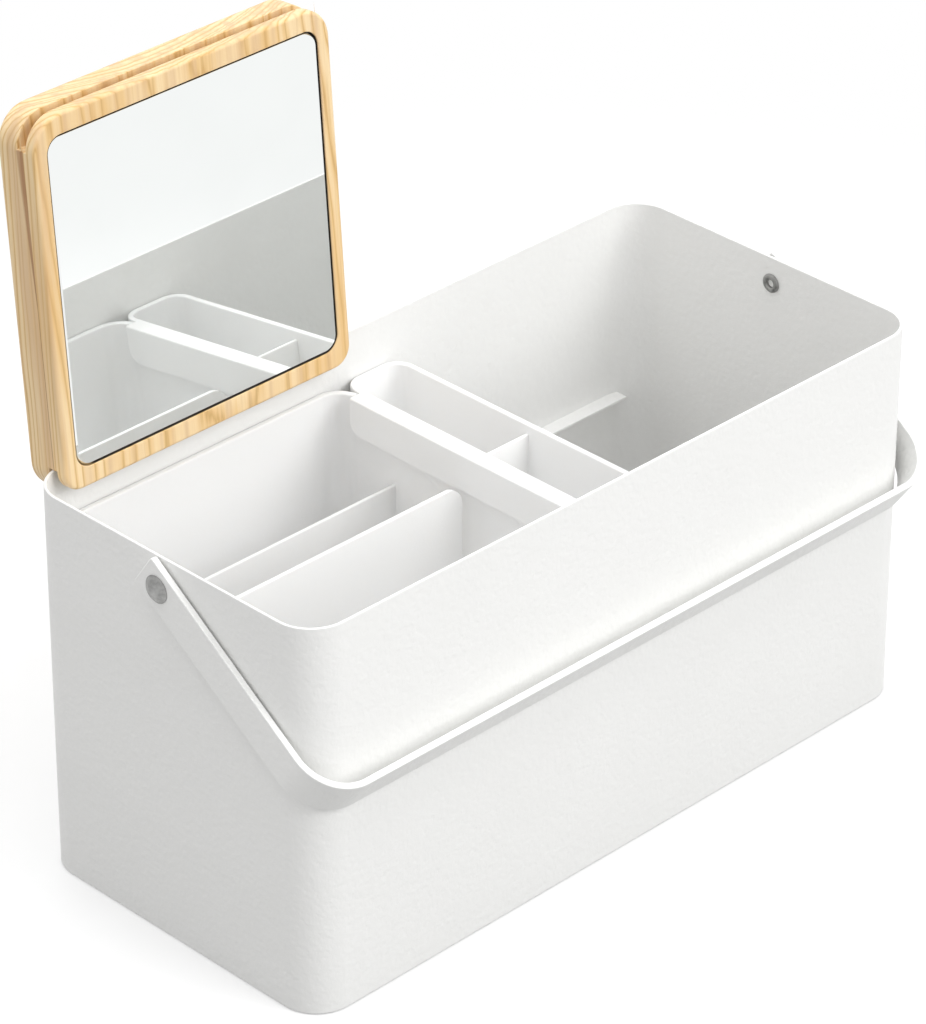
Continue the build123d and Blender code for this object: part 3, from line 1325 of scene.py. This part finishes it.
@dataclass
class MirrorLid:
    """The pine board that stands on the back rim, with the mirror let into its face."""

    groups: Groups
    lean: float = 4.3
    centre_x: float = -76.6 * MM
    width: float = 142.4 * MM
    height: float = 146.2 * MM
    thickness: float = 20 * MM
    corner: float = 13 * MM
    corner_steps: int = 12
    edge_round: float = 1.5 * MM
    front_leaf: float = 4.8 * MM
    slot_width: float = 4.6 * MM
    rear_drop: float = 5 * MM
    foot_slot: float = 8.5 * MM
    head_slot: float = 12 * MM
    slot_round: float = 0.4 * MM
    seat_gap: float = 0.1 * MM
    lip_gap: float = 0.15 * MM
    mirror_side: float = 6.7 * MM
    mirror_end: float = 8.6 * MM
    mirror_corner: float = 6 * MM
    inlay_steps: int = 10
    mirror_thickness: float = 2 * MM
    mirror_sunk: float = 0.2 * MM
    mirror_bevel: float = 0.5 * MM
    mirror_gap: float = 0.7 * MM
    tape_thickness: float = 0.4 * MM
    foot: float = field(init=False)
    middle: float = field(init=False)
    stand: Matrix = field(init=False)

    def __post_init__(self) -> None:
        """Works out where the board stands, from the wall that it straddles."""
        tilt = radians(self.lean)
        slot_back = self.front_leaf + self.slot_width
        rim = Vector(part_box("body_wall")[1])
        self.foot = self.seat_gap + slot_back * sin(tilt) / cos(tilt) - self.foot_slot
        self.middle = self.foot + self.height / 2
        lip = self.foot - self.rear_drop
        front_y = rim.y + self.lip_gap - lip * sin(tilt) - slot_back * cos(tilt)
        turn = Matrix.Rotation(pi / 2 - tilt, 4, "X")
        self.stand = Matrix.Translation((self.centre_x, front_y, rim.z)) @ turn

    def build(self) -> None:
        """Makes the board and the mirror."""
        turn = pi / 2 - radians(self.lean)
        origin = tuple(self.stand.translation)
        slot_floor = self.foot + self.height - self.head_slot
        reach = self.width / 2 - self.mirror_side + self.mirror_gap
        rise = self.height / 2 - self.mirror_end + self.mirror_gap
        pine = PineFinish(turn=turn, origin=origin).build(
            self.groups,
            (slot_floor - 62 * MM, slot_floor),
            (reach, self.middle - rise, self.middle + rise),
        )
        self._board(pine)
        finish = MirrorFinish()
        # The side of the mirror's edge where no shade is painted.
        unshaded_x = self.centre_x - self.width / 2 + self.mirror_side
        self._mirror(finish.build_face(self.groups), finish.build_edge(unshaded_x))

    def _inlay(self, name: str, widen: float, low: float, high: float) -> Workpiece:
        """Makes the mirror's outline, centred on the board.

        Args:
            name: The new object's name.
            widen: How far it reaches past the mirror's own edge.
            low: Its rear depth.
            high: Its front depth.

        Returns:
            The plate, still lying flat.
        """
        reach = self.width / 2 - self.mirror_side + widen
        rise = self.height / 2 - self.mirror_end + widen
        plate = Workpiece.block(name, (-reach, self.middle - rise, low), (reach, self.middle + rise, high))
        return plate.pick(Kind.EDGES, runs_along(2)).bevel(self.mirror_corner + widen, self.inlay_steps)

    def _leaf(self, name: str, foot: float, foot_corner: float, low: float, high: float) -> Workpiece:
        """Makes one leaf of the board, from its foot to the head that both share.

        Args:
            name: The new object's name.
            foot: Its foot's height.
            foot_corner: Its foot corners' radius.
            low: Its rear depth.
            high: Its front depth.

        Returns:
            The leaf, still lying flat.
        """
        head = self.foot + self.height
        leaf = Workpiece.block(name, (-self.width / 2, foot, low), (self.width / 2, head, high))
        for height, radius in ((head, self.corner), (foot, foot_corner)):
            leaf.pick(Kind.EDGES, both(runs_along(2), lies_at(1, height))).bevel(radius, self.corner_steps)
        return leaf

    def _board(self, pine: bpy.types.Material) -> None:
        """Makes the board: rounded all over, slotted at foot and head, and let in for the mirror.

        Args:
            pine: The board's material.
        """
        split = -self.front_leaf - self.slot_width / 2
        board = self._leaf("pine_board", self.foot, self.corner - self.rear_drop, split, 0.0)
        board.pick(Kind.EDGES, lies_at(2, 0.0)).bevel(self.edge_round, 6)
        rear_foot = self.foot - self.rear_drop
        rear = self._leaf("rear_leaf", rear_foot, self.corner, -self.thickness, split)
        rear.pick(Kind.EDGES, lies_at(2, -self.thickness)).bevel(self.edge_round, 6)
        board.unite(rear)
        head = self.foot + self.height
        over = 5 * MM
        slots = (
            (rear_foot - over, self.foot + self.foot_slot),
            (head - self.head_slot, head + over),
        )
        for low_y, high_y in slots:
            cutter = Workpiece.block(
                "slot_cutter",
                (-self.width, low_y, -self.front_leaf - self.slot_width),
                (self.width, high_y, -self.front_leaf),
            )
            board.cut(cutter)
        depth = self.mirror_sunk + self.mirror_thickness + self.tape_thickness
        board.cut(self._inlay("recess_cutter", self.mirror_gap, -depth, over))
        board.clear_seams()
        board.soften(self.slot_round, 3, 50, clamp=False)
        board.smooth(40)
        board.place(self.stand)
        board.finish(Body.LID, Slot.PINE, "lid_board", pine)

    def _mirror(self, face: bpy.types.Material, edge: bpy.types.Material) -> None:
        """Makes the mirror, its front arris ground off.

        Args:
            face: The silvered face's material.
            edge: The ground edge's material.
        """
        front = -self.mirror_sunk
        glass = self._inlay("mirror_plate", 0.0, front - self.mirror_thickness, front)
        glass.pick(Kind.EDGES, lies_at(2, front)).bevel(self.mirror_bevel, 1)
        for polygon in glass.obj.data.polygons:
            polygon.material_index = 0 if polygon.normal.z > 0.3 else 1
        glass.place(self.stand)
        glass.finish(Body.LID, Slot.MIRROR, "mirror_glass", face, edge)


# ---- the trays ----------------------------------------------------------------------------


@dataclass
class TrayMould:
    """What both trays share: walls, floor and the roundings that a mould gives."""

    plastic: bpy.types.Material
    wall: float = 2.5 * MM
    floor: float = 2 * MM
    foot_round: float = 1.5 * MM
    inside_round: float = 1.0 * MM
    rim_round: float = 0.7 * MM
    sink: float = 0.3 * MM
    crest_share: float = 0.35

    def shell(self, name: str, low: Point, high: Point, low_corner: float, high_corner: float) -> Workpiece:
        """Makes an open tray.

        Args:
            name: The new object's name.
            low: The lowest corner of its outside.
            high: The highest corner of its outside.
            low_corner: The radius of its two corners at the low X end.
            high_corner: The radius of its two corners at the high X end.

        Returns:
            The tray's shell.
        """
        tray = Workpiece.block(name, low, high)
        for x, radius in ((low[0], low_corner), (high[0], high_corner)):
            tray.pick(Kind.EDGES, both(runs_along(2), lies_at(0, x))).bevel(radius, 14)
        tray.pick(Kind.EDGES, lies_at(2, low[2])).bevel(self.foot_round, 4)
        depth = high[2] - low[2] - self.floor
        tray.pick(Kind.FACES, lies_at(2, high[2])).inset(self.wall).extrude((0, 0, -depth))
        tray.pick(Kind.EDGES, lies_at(2, low[2] + self.floor)).bevel(self.inside_round, 4)
        tray.pick(Kind.EDGES, both(lies_at(2, high[2]), self._borders_upright))
        return tray.bevel(self.rim_round, 4)

    @staticmethod
    def _borders_upright(edge: Any) -> bool:
        """Tells whether an edge of the rim borders an upright face."""
        return any(abs(face.normal.z) < 0.5 for face in edge.link_faces)

    def divider(
        self, ends: tuple[float, float], middle: float, thick: float, heights: tuple[float, float],
        top_corner: float = 0.0,
    ) -> Workpiece:
        """Makes a thin wall across a tray, sunk a little into the walls and floor that it joins.

        Args:
            ends: The inside of the walls at its low and high X ends.
            middle: Its place along Y.
            thick: Its thickness.
            heights: The tray's floor and the divider's top.
            top_corner: The radius of its two top corners, or 0.

        Returns:
            The divider.
        """
        sink, (x_low, x_high), (floor, top) = self.sink, ends, heights
        low = (x_low - sink, middle - thick / 2, floor - sink)
        plate = Workpiece.block("divider", low, (x_high + sink, middle + thick / 2, top))
        if top_corner > 0:
            shoulders = both(runs_along(1), lies_at(2, top))
            plate.pick(Kind.EDGES, shoulders).bevel(top_corner + sink, 8)
        crest = both(runs_along(0), lies_at(2, top))
        return plate.pick(Kind.EDGES, crest).bevel(thick * self.crest_share, 3)


@dataclass
class LargeTray:
    """The tray on the rails: two moulded dividers, and a notch in its wall for the small tray's hook."""

    mould: TrayMould
    low_end_corner: float = 15 * MM
    high_end_corner: float = 12 * MM
    low_divider: tuple[float, float, float] = (41 * MM, 1.5 * MM, 30 * MM)
    high_divider: tuple[float, float, float] = (-1.1 * MM, 1.8 * MM, 9.5 * MM)
    high_divider_corner: float = 8 * MM
    high_divider_gap: float = 6.3 * MM
    notch_half: float = 62.6 * MM
    notch_depth: float = 2.1 * MM

    def build(self) -> None:
        """Makes the tray."""
        mould = self.mould
        low, high = (Vector(corner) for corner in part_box("large_tray"))
        tray = mould.shell("large_tray_moulding", low, high, self.low_end_corner, self.high_end_corner)
        cutter = Workpiece.block(
            "notch_cutter",
            (high.x - 3 * mould.wall, -self.notch_half, high.z - self.notch_depth),
            (high.x + mould.wall, self.notch_half, high.z + mould.wall),
        )
        tray.cut(cutter)
        floor = low.z + mould.floor
        x_low, x_high = low.x + mould.wall, high.x - mould.wall
        middle, thick, drop = self.low_divider
        tray.unite(mould.divider((x_low, x_high), middle, thick, (floor, high.z - drop)))
        middle, thick, drop = self.high_divider
        free_end = x_high - self.high_divider_gap
        ends, heights = (x_low, free_end - mould.sink), (floor, high.z - drop)
        plate = mould.divider(ends, middle, thick, heights, self.high_divider_corner)
        plate.pick(Kind.EDGES, both(runs_along(2), lies_at(0, free_end)))
        tray.unite(plate.bevel(thick * mould.crest_share, 3))
        tray.smooth(35)
        tray.finish(Body.LARGE_TRAY, Slot.TRAY_PLASTIC, "large_tray", mould.plastic)


@dataclass
class SmallTray:
    """The narrow tray: one divider, and the hook that drops over the large tray's wall."""

    mould: TrayMould
    corner: float = 8.5 * MM
    width: float = 30.4 * MM
    divider: tuple[float, float, float] = (0.7 * MM, 1.5 * MM, 3.7 * MM)
    hook_half: float = 62.3 * MM
    hook_plate: float = 2 * MM
    skirt_drop: float = 15.3 * MM
    skirt_corner: float = 6 * MM
    hook_round: float = 0.7 * MM

    def build(self) -> None:
        """Makes the tray."""
        mould = self.mould
        low, high = (Vector(corner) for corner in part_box("small_tray"))
        hook_x = low.x
        low.x = high.x - self.width
        tray = mould.shell("small_tray_moulding", low, high, self.corner, self.corner)
        tray.unite(self._hook(hook_x, low.x + mould.wall / 2, high.z))
        middle, thick, drop = self.divider
        ends, heights = (low.x + mould.wall, high.x - mould.wall), (low.z + mould.floor, high.z - drop)
        tray.unite(mould.divider(ends, middle, thick, heights))
        tray.smooth(35)
        tray.finish(Body.SMALL_TRAY, Slot.TRAY_PLASTIC, "small_tray", mould.plastic)

    def _hook(self, x_low: float, x_high: float, top: float) -> Workpiece:
        """Makes the hook: a flat plate whose outer edge is drawn down to a skirt.

        Args:
            x_low: The skirt's face, inside the large tray.
            x_high: Where the plate ends in the small tray's wall.
            top: The rim's height.

        Returns:
            The hook.
        """
        half, wall = self.hook_half, self.mould.wall
        under = top - self.hook_plate
        hook = Workpiece.block("hook", (x_low, -half, under), (x_high, half, top))
        hook.bisect((x_low + wall, 0, 0), (1, 0, 0))
        lip = both(lies_at(2, under), between(0, x_low, x_low + wall))
        hook.pick(Kind.FACES, lip).extrude((0, 0, self.hook_plate - self.skirt_drop))
        hook.merge()
        feet = both(runs_along(0), lies_at(2, top - self.skirt_drop))
        hook.pick(Kind.EDGES, feet).bevel(self.skirt_corner, 10)
        crest = both(runs_along(1), lies_at(0, x_low), lies_at(2, top))
        return hook.pick(Kind.EDGES, crest).bevel(self.hook_round, 4)


# ---- the studio ---------------------------------------------------------------------------


@dataclass(frozen=True)
class SoftLamp:
    """A square soft lamp that neither the camera nor a mirror sees."""

    name: str
    place: Point
    power: float
    aim: Point = (0.0, 0.0, 0.1)
    size: float = 1.6

    def hang(self) -> None:
        """Adds the lamp to the scene."""
        Workpiece.clear_bench()
        bpy.ops.object.light_add(type="AREA", location=self.place)
        lamp = bpy.context.active_object
        lamp.name = self.name
        lamp.data.shape = "SQUARE"
        lamp.data.size = self.size
        lamp.data.energy = self.power
        away = Vector(self.place) - Vector(self.aim)
        lamp.rotation_euler = away.to_track_quat("Z", "Y").to_euler()
        lamp.visible_camera = False
        lamp.visible_glossy = False


@dataclass
class Studio:
    """A plain pale floor, soft lamps, and the camera at the photograph's viewing angle."""

    eye: Vector = field(default_factory=lambda: Vector((-1.1438, -1.1328, 1.0813)))
    yaw: float = -44.99
    elevation: float = 30.96
    roll: float = 0.15
    lens: float = 194.38
    sensor: float = 36.0
    sky: float = 0.65
    floor_seen: Point = (0.93, 0.93, 0.93)
    floor_bounce: Point = (0.30, 0.30, 0.298)
    floor_side: float = 9.0
    floor_sunk: float = 0.4 * MM
    lamps: tuple[SoftLamp, ...] = (
        SoftLamp("key_lamp", (0.7, -2.0, 1.5), 38.0, aim=(0.0, 0.0, 0.08)),
        SoftLamp("top_lamp", (-0.1, 0.0, 2.2), 23.0, size=2.0),
        SoftLamp("left_lamp", (-2.0, -0.3, 1.2), 8.0),
        SoftLamp("back_lamp", (0.3, 1.5, 2.0), 8.0),
    )

    def build(self) -> None:
        """Sets up the view, the world, the lamps, the floor and the camera."""
        bpy.context.scene.view_settings.view_transform = "Standard"
        self._world()
        self._floor()
        for lamp in self.lamps:
            lamp.hang()
        self._camera()

    def _world(self) -> None:
        """Lights the object evenly, and shows white to the camera, in mirrors and through glass."""
        world = bpy.data.worlds.new("studio_world")
        world.use_nodes = True
        bpy.context.scene.world = world
        world.node_tree.nodes.clear()
        board = Board(world.node_tree)
        rays = board.add("LightPath")
        seen = board.math("MAXIMUM", rays.outputs["Is Camera Ray"], rays.outputs["Is Glossy Ray"])
        seen = board.math("MAXIMUM", seen, rays.outputs["Is Transmission Ray"])
        strength = board.math("ADD", board.math("MULTIPLY", seen, 1.0 - self.sky), self.sky)
        shader = board.add("Background", {"Color": (1.0, 1.0, 1.0, 1.0), "Strength": strength})
        board.add("OutputWorld", {"Surface": shader.outputs[0]})

    def _floor(self) -> None:
        """Lays the floor: white to the camera and in mirrors, with the object's soft shadow near it."""
        floor = Workpiece.sheet("studio_floor", (0, 0, -self.floor_sunk), (self.floor_side, self.floor_side))
        material = bpy.data.materials.new("studio_floor")
        material.use_nodes = True
        material.node_tree.nodes.clear()
        board = Board(material.node_tree)
        place = board.add("TexCoord").outputs["Object"]
        fleck = board.spread(board.noise(place, 60.0, 3.0), 0.2, 0.8, 0.985, 1.0)
        rays = board.add("LightPath").outputs
        seen = board.math("MAXIMUM", rays["Is Camera Ray"], rays["Is Glossy Ray"])
        tone = board.mix(seen, self.floor_bounce, self.floor_seen)
        tint = board.add("VectorMath", {"0": tone, "Scale": fleck}, operation="SCALE").outputs[0]
        lit = board.add("BsdfPrincipled", {"Base Color": tint, "Roughness": 0.9})
        glow = board.add("Emission", {"Color": (1.0, 1.0, 1.0, 1.0), "Strength": 1.0})
        away = board.add("VectorMath", {"0": place}, operation="LENGTH").outputs["Value"]
        far = board.spread(away, 0.22, 0.6, 0.35, 1.0)
        share = board.math("MULTIPLY", seen, far)
        mixed = board.add("MixShader", {"Fac": share, "1": lit.outputs[0], "2": glow.outputs[0]})
        board.add("OutputMaterial", {"Surface": mixed.outputs[0]})
        floor.obj.data.materials.append(material)

    def _camera(self) -> None:
        """Puts the camera where the photograph was taken from."""
        yaw, rise, tilt = radians(self.yaw), radians(self.elevation), radians(self.roll)
        back = Vector((sin(yaw) * cos(rise), -cos(yaw) * cos(rise), sin(rise)))
        right = Vector((cos(yaw), sin(yaw), 0))
        up = back.cross(right)
        right, up = cos(tilt) * right + sin(tilt) * up, cos(tilt) * up - sin(tilt) * right
        turn = Matrix((right, up, back)).transposed()
        data = bpy.data.cameras.new("photo_camera")
        data.sensor_fit = "HORIZONTAL"
        data.sensor_width = self.sensor
        data.lens = self.lens
        data.clip_start = 0.05
        data.clip_end = 50.0
        camera = bpy.data.objects.new("photo_camera", data)
        bpy.context.scene.collection.objects.link(camera)
        camera.matrix_world = Matrix.Translation(self.eye) @ turn.to_4x4()
        bpy.context.scene.camera = camera


def dress_tape() -> None:
    """Gives the tape behind the mirror its woven look; its own solid stays."""
    material, board, shader, place = begin_material("backing_tape")
    weave = board.add("TexWave", {"Vector": place, "Scale": 900.0, "Distortion": 0.6}, bands_direction="X")
    color = board.mix(weave.outputs["Fac"], (0.62, 0.61, 0.58), (0.70, 0.69, 0.66))
    board.link(color, shader, "Base Color")
    board.raise_skin(weave.outputs["Fac"], shader, 0.4, 0.05 * MM)
    shader.inputs["Roughness"].default_value = 0.8
    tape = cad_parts["mirror_tape"]
    if not tape.material_slots:
        tape.data.materials.append(material)
    for slot in tape.material_slots:
        slot.link = "OBJECT"
        slot.material = material
    LOG.info("mirror_tape keeps its own solid")


def main() -> None:
    """Builds the studio and every piece of the box, in order."""
    logging.basicConfig(level=logging.INFO, format="%(name)s: %(message)s")
    Studio().build()
    groups = Groups(skin=build_skin_group(), handling=build_handling_group())
    coat = SkinnedFinish(
        name="powder_coat", color=(0.865, 0.865, 0.852), shade=(0.835, 0.835, 0.822), roughness=0.50,
        specular=0.42, grain=620.0, pebble=380.0, skin_depth=0.00022,
    ).build(groups)
    plastic = SkinnedFinish(
        name="tray_plastic", color=(0.88, 0.88, 0.875), shade=(0.865, 0.865, 0.86), roughness=0.36,
        specular=0.5, grain=1500.0, pebble=900.0, skin_depth=0.00003, subsurface=0.12,
    ).build(groups)
    nylon = SkinnedFinish(
        name="washer_nylon", color=(0.82, 0.82, 0.80), shade=(0.78, 0.78, 0.76), roughness=0.45,
        specular=0.5, grain=2400.0, pebble=1500.0, skin_depth=0.00002,
    ).build(groups)
    steel = SteelFinish().build()
    SteelBox(coat=coat).build()
    StrapHandle(coat=coat, steel=steel, nylon=nylon).build()
    MirrorLid(groups=groups).build()
    dress_tape()
    mould = TrayMould(plastic=plastic)
    LargeTray(mould=mould).build()
    SmallTray(mould=mould).build()


if __name__ == "__main__":
    main()
